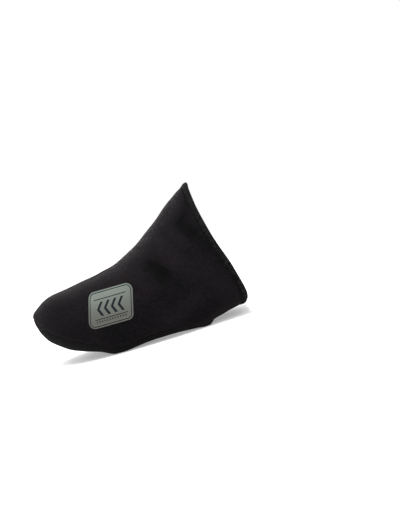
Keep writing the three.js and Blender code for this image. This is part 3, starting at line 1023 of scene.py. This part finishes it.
class TOECOVER_OT_opening_tape(bpy.types.Operator):
    """Makes the tape folded round the edge of the cleat opening"""

    bl_idname = "toecover.opening_tape"
    bl_label = "Opening tape"

    STATIONS = 360
    GROOVE, GROOVE_REACH = 0.0005, 0.0005  # of the row that the stitches pull into the tape

    def execute(self, context):
        form = Form(settings())
        made = Patchwork("opening_edge_tape", finishes()["tape"])
        loop = tape_loop(form.opening.tape_width, form.opening.tape_proud, form.size.wall)
        stitched = form.opening.tape_width - STITCH_INSET
        rings = []
        for grow, out in loop:
            if out > 0:
                out -= sunk(stitched - grow, self.GROOVE, self.GROOVE_REACH)
            t, a = form.on_sole(form.opening_outline(grow, self.STATIONS))
            rings.append(form.point(t, a) + form.normal(t, a) * out)
        points = np.stack([*rings, rings[0]])
        points = np.concatenate([points, points[:, :1]], 1)
        points[..., 2] = np.maximum(points[..., 2], 0)
        made.grid(points, tape_uv(points[0], loop, form.opening.tape_width))
        settle(made.finish(), "binding_tape", "cleat_opening_tape")
        return {"FINISHED"}


def tape_loop(width, proud, wall, face_steps=12, rim_steps=3):
    """The outline of a folded tape: how far from the edge, and how far out of the wall's outer face."""
    radius = wall / 2 + proud
    nose = [
        (radius - radius * math.cos(turn), radius * math.sin(turn) - wall / 2)
        for turn in np.linspace(math.pi / 2, -math.pi / 2, face_steps + 1)
    ]
    flat = np.linspace(radius, width - proud, face_steps + 1)[1:]
    rim = [
        (width - proud + proud * math.sin(turn), proud * math.cos(turn))
        for turn in np.linspace(0, math.pi / 2, rim_steps + 1)[1:]
    ]
    upper = [(place, proud) for place in flat[::-1]]
    lower = [(place, -wall - proud) for place in flat]
    return [*rim[::-1], *upper, *nose, *lower, *[(place, -wall - out) for place, out in rim]]


def tape_uv(ring, loop, width):
    """Places on a folded tape in millimetres: along its edge, and from its inner edge."""
    inset = width - np.array([*loop, loop[0]])[:, :1]
    return np.stack(np.broadcast_arrays(run_along(ring)[None, :] * MM, inset * MM), -1)


class TOECOVER_OT_collar_hem(bpy.types.Operator):
    """Makes the folded edge round the collar"""

    bl_idname = "toecover.collar_hem"
    bl_label = "Collar hem"

    STATIONS = 420
    GROOVE, GROOVE_REACH = 0.00075, 0.0007  # of the row that the stitches pull into the hem
    OUTSIDE, INSIDE = -0.24, 0.35  # how much fuller the hem is folded at the ridge, on each face

    def execute(self, context):
        form = Form(settings())
        made = Patchwork("collar_hem", finishes()["tape"])
        a = collar_stations(form, self.STATIONS)
        swell = hem_swell(a)
        rings = []
        loop = tape_loop(form.collar.width, form.collar.proud, form.size.wall)
        stitched = form.collar.width - STITCH_INSET
        middle = -form.size.wall / 2
        for place, out in loop:
            groove = sunk(stitched - place, self.GROOVE, self.GROOVE_REACH)
            fuller = 1 + (self.INSIDE if out < middle else self.OUTSIDE) * swell
            thick = (out - middle) * fuller - math.copysign(groove, out - middle)
            rings.append(form.skin(form.collar_end(a, hem_place(a, place)), a, middle + thick))
        points = np.stack([*rings, rings[0]])
        made.grid(points, tape_uv(points[0], loop, form.collar.width))
        settle(made.finish(), "binding_tape", "collar_binding")
        return {"FINISHED"}


RIDGE, CAP = 0.5, 0.1  # a at the ridge, and how far to each side the hem's fuller cap reaches
CAP_WIDER, CAP_BACK = 0.14, 0.0007  # how much wider the hem is there, and how far back it stands


def hem_swell(a):
    """1 at the ridge, where the hem is folded fuller, and 0 at the sides."""
    return np.exp(-(((a - RIDGE) / CAP) ** 2))


def hem_place(a, place):
    """A distance from the collar's edge, stretched and moved back a little at the ridge."""
    return place * (1 + CAP_WIDER * hem_swell(a)) - CAP_BACK * hem_swell(a)


def collar_stations(form, count, fine_steps=1600):
    """Values of a, evenly spaced along the collar's edge, ending where they start."""
    fine = np.linspace(0, 4, fine_steps + 1)
    run = run_along(form.point(form.collar_end(fine, 0), fine))
    return np.interp(np.linspace(0, run[-1], count + 1), run, fine)


class TOECOVER_OT_patch(bpy.types.Operator):
    """Makes the reflective film on the outer side of the toe"""

    bl_idname = "toecover.patch"
    bl_label = "Reflective patch"

    RINGS = 44
    SPOKES = 200
    EDGE = np.array([0, 0.00006, 0.00015, 0.0003])  # from the outline to each ring of the rounded edge
    REACH = 0.015  # about the distance from the middle to the outline
    ROUND = 0.9  # share of the film's thickness that the edge is rounded over
    UNDERSIDE_STEP = 8  # rings of the face for each ring of the hidden underside
    SUNK = 0.0003  # how far the underside lies inside the knit
    HIGHEST = 0.999  # share of the way up to the ridge, or down to the sole, that the film may reach

    def execute(self, context):
        form, patch = Form(settings()), settings().patch
        made = Patchwork("toe_patch", finishes()["film"])
        outline = self.outline(patch)
        shares = np.concatenate([np.linspace(0, 1, self.RINGS)[:-1], 1 - self.EDGE[::-1] / self.REACH])
        middle = np.array([patch.setback, patch.height])
        flat = middle + shares[:, None, None] * (outline - middle)[None]
        depth = (1 - shares) * self.REACH
        proud = patch.proud - rounded(depth, patch.proud * self.ROUND)
        face = self.on_skin(form, flat, np.broadcast_to(proud[:, None], flat.shape[:2]))
        under = np.concatenate([flat[::-self.UNDERSIDE_STEP], flat[:1]])
        back = self.on_skin(form, under, np.full(under.shape[:2], -self.SUNK))
        made.grid(np.concatenate([face, back]), (np.concatenate([flat, under]) - middle) * MM)
        piece = made.finish()
        self.mark_rim(piece, outline, middle)
        settle(piece, "reflective_film", "reflective_patch")
        return {"FINISHED"}

    def outline(self, patch):
        """The patch's rounded outline as seen from the side, evenly spaced."""
        half, rise = patch.width / 2 - patch.corner, patch.tall / 2 - patch.corner
        discs = np.array([
            (patch.setback + end * half + up * patch.lean / 2, patch.height + up * rise)
            for end in (-1, 1) for up in (-1, 1)])
        angle = np.linspace(0, 2 * np.pi, self.SPOKES + 1)
        way = np.stack([np.cos(angle), np.sin(angle)], -1)
        far = (way @ discs.T).argmax(1)
        corners = discs[far] + patch.corner * way
        run = run_along(corners)
        even = np.linspace(0, run[-1], self.SPOKES + 1)
        return np.stack([np.interp(even, run, corners[:, i]) for i in (0, 1)], -1)

    def on_skin(self, form, flat, proud):
        """Places seen from the side, put on the outer side of the skin."""
        t = form.t_at(flat[..., 0])
        at = form.section(t)
        high = np.clip((flat[..., 1] - at["side"]) / (at["top"] - at["side"]), 0, self.HIGHEST)
        low = np.clip((at["side"] - flat[..., 1]) / (at["side"] - at["bottom"]), 0, self.HIGHEST)
        a = np.where(flat[..., 1] > at["side"], np.arcsin(high) / np.pi, 4 - np.arcsin(low) / (np.pi / 2))
        return form.skin(t, a, proud)

    def mark_rim(self, piece, outline, middle):
        """Stores how far each point lies from the patch's outline, in metres."""
        uv = np.zeros(len(piece.data.loops) * 2, np.float32)
        piece.data.uv_layers["cloth"].data.foreach_get("uv", uv)
        corner = np.zeros(len(piece.data.loops), np.int32)
        piece.data.loops.foreach_get("vertex_index", corner)
        flat = np.zeros((len(piece.data.vertices), 2))
        flat[corner] = uv.reshape(-1, 2) / MM + middle
        away = np.linalg.norm(flat[:, None] - outline[None], axis=2).min(1)
        mark(piece, "rim", away)


class StitchTree(Nodes):
    """Geometry nodes that lay thread stitches along a closed line of points."""

    JITTER = 0.09  # greatest small turn of a stitch, in radians
    INPUTS = {
        "Count": ("NodeSocketInt", 100),
        "Length": ("NodeSocketFloat", 0.002),
        "Thread": ("NodeSocketFloat", 0.0005),
        "Slant": ("NodeSocketFloat", 0.0),
        "Seed": ("NodeSocketInt", 7),
        "Finish": ("NodeSocketMaterial", None),
    }

    def __init__(self):
        self.tree = bpy.data.node_groups.new("stitches", "GeometryNodeTree")
        face = self.tree.interface
        face.new_socket("Geometry", in_out="INPUT", socket_type="NodeSocketGeometry")
        for name, (kind, default) in self.INPUTS.items():
            socket = face.new_socket(name, in_out="INPUT", socket_type=kind)
            if default is not None:
                socket.default_value = default
        face.new_socket("Geometry", in_out="OUTPUT", socket_type="NodeSocketGeometry")
        self.build()

    def build(self):
        given = self.node("NodeGroupInput").outputs
        line = self.node("GeometryNodeMeshToCurve", sockets={"Mesh": given["Geometry"]})
        points = self.node(
            "GeometryNodeCurveToPoints", {"mode": "COUNT"},
            {"Curve": line.outputs[0], "Count": given["Count"]})
        out = self.node(
            "GeometryNodeInputNamedAttribute", {"data_type": "FLOAT_VECTOR"}, {"Name": "outward"})
        lengthwise = self.node(
            "FunctionNodeAlignRotationToVector", {"axis": "X"}, {"Vector": points.outputs["Tangent"]})
        upright = self.node(
            "FunctionNodeAlignRotationToVector", {"axis": "Z", "pivot_axis": "X"},
            {"Rotation": lengthwise.outputs[0], "Vector": out.outputs["Attribute"]})
        index = Number(self, self.node("GeometryNodeInputIndex").outputs[0])
        jitter = self.node(
            "FunctionNodeRandomValue", {"data_type": "FLOAT"},
            {2: -self.JITTER, 3: self.JITTER, "ID": index, "Seed": given["Seed"]})
        jitter_out = [socket for socket in jitter.outputs if socket.type == "VALUE"][0]
        # Every second stitch slants the other way
        slant = (index % 2 * 2 - 1) * given["Slant"] + jitter_out
        turn = self.node("ShaderNodeCombineXYZ", sockets={"Z": slant})
        spin = self.node("FunctionNodeEulerToRotation", sockets={"Euler": turn.outputs[0]})
        turned = self.node(
            "FunctionNodeRotateRotation", {"rotation_space": "LOCAL"},
            {"Rotation": upright.outputs[0], "Rotate By": spin.outputs[0]})
        ball = self.node("GeometryNodeMeshUVSphere", sockets={"Segments": 8, "Rings": 6, "Radius": 0.5})
        scale = self.node("ShaderNodeCombineXYZ", sockets={
            "X": given["Length"], "Y": given["Thread"], "Z": given["Thread"]})
        laid = self.node("GeometryNodeInstanceOnPoints", sockets={
            "Points": points.outputs["Points"], "Instance": ball.outputs[0],
            "Rotation": turned.outputs[0], "Scale": scale.outputs[0]})
        real = self.node("GeometryNodeRealizeInstances", sockets={"Geometry": laid.outputs[0]})
        dressed = self.node("GeometryNodeSetMaterial", sockets={
            "Geometry": real.outputs[0], "Material": given["Finish"]})
        self.node("NodeGroupOutput", sockets={"Geometry": dressed.outputs[0]})

    def lay(self, name, points, out, pitch, length, thread, seed, slant=0.0):
        """Stitches along a closed line, as one plain mesh."""
        line = bpy.data.meshes.new(name + "_line")
        count = len(points)
        line.from_pydata(points.tolist(), [(i, (i + 1) % count) for i in range(count)], [])
        layer = line.attributes.new("outward", "FLOAT_VECTOR", "POINT")
        layer.data.foreach_set("vector", out.astype(np.float32).ravel())
        carrier = placed(name + "_line", line)
        modifier = carrier.modifiers.new("stitches", "NODES")
        modifier.node_group = self.tree
        run = np.linalg.norm(points - np.roll(points, 1, 0), axis=1).sum()
        values = {
            "Count": 2 * round(run / pitch / 2),
            "Length": length,
            "Thread": thread,
            "Slant": slant,
            "Seed": seed,
            "Finish": finishes()["thread"],
        }
        for item in self.tree.interface.items_tree:
            if item.in_out == "INPUT" and item.name in values:
                modifier[item.identifier] = values[item.name]
        seen = carrier.evaluated_get(bpy.context.evaluated_depsgraph_get())
        mesh = bpy.data.meshes.new_from_object(seen)
        mesh.name = name
        bpy.data.objects.remove(carrier)
        mesh.polygons.foreach_set("use_smooth", np.ones(len(mesh.polygons), bool))
        settle(placed(name, mesh), "binding_tape")


class TOECOVER_OT_stitches(bpy.types.Operator):
    """Sews the collar's hem and the tape round the cleat opening"""

    bl_idname = "toecover.stitches"
    bl_label = "Stitches"

    HEM_POINTS, OPENING_POINTS = 500, 400  # of the lines that the stitches are laid along
    OUTER_SINK = 0.0004  # how far the hem's thread lies deeper at the ridge, on the outer face
    INNER_SINK, INNER_SWELL = 0.0001, 0.0006  # and on the inner face, all round and at the ridge
    INNER_PITCH, INNER_LENGTH = 0.62, 0.95  # of the zigzag inside, as shares of the outer row's
    INNER_SLANT = 0.75
    SECOND_ROW = 0.0027  # from the inner edge of the opening's tape to its second row
    TAPE_SINK = 0.0003  # how far the thread lies in the tape

    def execute(self, context):
        form, chosen = Form(settings()), settings().stitches
        tree = StitchTree()
        self.hem(form, chosen, tree)
        self.opening(form, chosen, tree, "opening_stitches", STITCH_INSET)
        self.opening(form, chosen, tree, "opening_stitches_edge", self.SECOND_ROW)
        return {"FINISHED"}

    def hem(self, form, chosen, tree):
        a = collar_stations(form, self.HEM_POINTS)[:-1]
        t = form.collar_end(a, hem_place(a, form.collar.width - STITCH_INSET))
        swell, out = hem_swell(a), form.normal(t, a)
        outer = form.skin(t, a, -self.OUTER_SINK * swell)
        inner = form.skin(t, a, -form.size.wall - self.INNER_SINK - self.INNER_SWELL * swell)
        pitch, length = chosen.hem_pitch, chosen.hem_pitch * chosen.show
        tree.lay("hem_stitches", outer, out, pitch, length, chosen.thread, chosen.seed)
        tree.lay(
            "hem_stitches_inside", inner, -out, pitch * self.INNER_PITCH, length * self.INNER_LENGTH,
            chosen.thread, chosen.seed + 1, self.INNER_SLANT)

    def opening(self, form, chosen, tree, name, inset):
        outline = form.opening_outline(form.opening.tape_width - inset, self.OPENING_POINTS)
        t, a = form.on_sole(outline)
        out = form.normal(t, a)
        line = form.point(t, a) + out * (form.opening.tape_proud - self.TAPE_SINK)
        line[:, 2] = np.maximum(line[:, 2], chosen.tape_thread / 2)
        pitch = chosen.tape_pitch
        tree.lay(name, line, out, pitch, pitch * chosen.show, chosen.tape_thread, chosen.seed + 2)


class TOECOVER_OT_stage(bpy.types.Operator):
    """Sets the pale floor, the white room, the soft lights and the camera"""

    bl_idname = "toecover.stage"
    bl_label = "Stage"

    FLOOR_RADIUS = 3.0
    FLOOR_SIDES = 96
    LIT = Vector((0, 0, 0.05))  # where the lights point
    CLIP = 0.01, 20.0  # nearest and farthest that the camera sees
    # name, place, size, power, tint
    LIGHTS = [
        ("softbox_above", (-0.25, -0.08, 1.25), 1.0, 23.0, (1, 0.96, 0.98)),
        ("softbox_side", (0.5, -1.1, 0.55), 0.9, 5.0, (1, 0.98, 1)),
        ("softbox_behind", (-0.4, 1.2, 0.44), 0.7, 7.5, (1, 0.94, 0.98)),
        ("softbox_low", (0.8, -0.8, 0.13), 0.24, 2.4, (1, 0.92, 0.93)),
        ("softbox_toe", (-0.9, -0.7, 0.3), 0.5, 1.6, (1, 0.96, 0.98)),
    ]

    def execute(self, context):
        context.scene.view_settings.view_transform = "Standard"
        self.floor()
        self.world()
        for light in self.LIGHTS:
            self.softbox(*light)
        self.camera(settings().camera)
        return {"FINISHED"}

    def floor(self):
        angle = np.linspace(0, 2 * np.pi, self.FLOOR_SIDES + 1)[:-1]
        rim = [(self.FLOOR_RADIUS * math.cos(w), self.FLOOR_RADIUS * math.sin(w), 0) for w in angle]
        mesh = bpy.data.meshes.new("floor")
        mesh.from_pydata(rim, [], [list(range(len(rim)))])
        mesh.materials.append(finishes()["floor"])
        placed("floor", mesh)

    def world(self):
        world = bpy.data.worlds.new("white_room")
        world.use_nodes = True
        back = world.node_tree.nodes["Background"]
        back.inputs["Color"].default_value = (1, 1, 1, 1)
        back.inputs["Strength"].default_value = 1.0
        bpy.context.scene.world = world

    def softbox(self, name, place, size, power, tint):
        light = bpy.data.lights.new(name, "AREA")
        light.shape, light.size, light.energy, light.color = "DISK", size, power, tint
        made = placed(name, light)
        made.location = place
        made.rotation_euler = (self.LIT - Vector(place)).to_track_quat("-Z", "Y").to_euler()

    def camera(self, chosen):
        """Sets the camera upright, then rolls it about its line of sight."""
        az, el, roll = chosen.azimuth, chosen.elevation, chosen.roll
        back = Vector((math.sin(az) * math.cos(el), -math.cos(az) * math.cos(el), math.sin(el)))
        level = Vector((math.cos(az), math.sin(az), 0))
        upright = back.cross(level)
        right = math.cos(roll) * level - math.sin(roll) * upright
        up = math.sin(roll) * level + math.cos(roll) * upright
        data = bpy.data.cameras.new("camera")
        data.lens, data.sensor_width, data.sensor_fit = chosen.lens, chosen.sensor, "AUTO"
        data.clip_start, data.clip_end = self.CLIP
        made = placed("camera", data)
        turn = Matrix((right, up, back)).transposed().to_4x4()
        aim = Vector((chosen.aim_x, 0, chosen.aim_z))
        made.matrix_world = Matrix.Translation(aim + back * chosen.distance) @ turn
        bpy.context.scene.camera = made


OPERATORS = [
    TOECOVER_OT_upper, TOECOVER_OT_sole_panel, TOECOVER_OT_opening_tape, TOECOVER_OT_collar_hem,
    TOECOVER_OT_patch, TOECOVER_OT_stitches, TOECOVER_OT_stage,
]


class TOECOVER_PT_panel(bpy.types.Panel):
    """Lists the pieces, the stage and all the sizes and colours in the sidebar"""

    bl_idname = "TOECOVER_PT_panel"
    bl_label = "Toe cover"
    bl_space_type = "VIEW_3D"
    bl_region_type = "UI"
    bl_category = "Toe cover"

    def draw(self, context):
        for operator in OPERATORS:
            self.layout.operator(operator.bl_idname)
        chosen = context.scene.toe_cover
        for part in ToeCover.__annotations__:
            group, box = getattr(chosen, part), self.layout.box()
            for name in group.__annotations__:
                box.prop(group, name)


CLASSES = [
    CoverSizes, CollarSizes, OpeningSizes, PatchSizes, StitchSizes, Colours, CameraSizes, ToeCover,
    *OPERATORS, TOECOVER_PT_panel,
]


def register():
    for cls in CLASSES:
        bpy.utils.register_class(cls)
    bpy.types.Scene.toe_cover = PointerProperty(type=ToeCover)


def unregister():
    del bpy.types.Scene.toe_cover
    for cls in reversed(CLASSES):
        bpy.utils.unregister_class(cls)


def main():
    register()
    bpy.ops.toecover.upper()
    bpy.ops.toecover.sole_panel()
    bpy.ops.toecover.opening_tape()
    bpy.ops.toecover.collar_hem()
    bpy.ops.toecover.patch()
    bpy.ops.toecover.stitches()
    bpy.ops.toecover.stage()


if __name__ == "__main__":
    main()
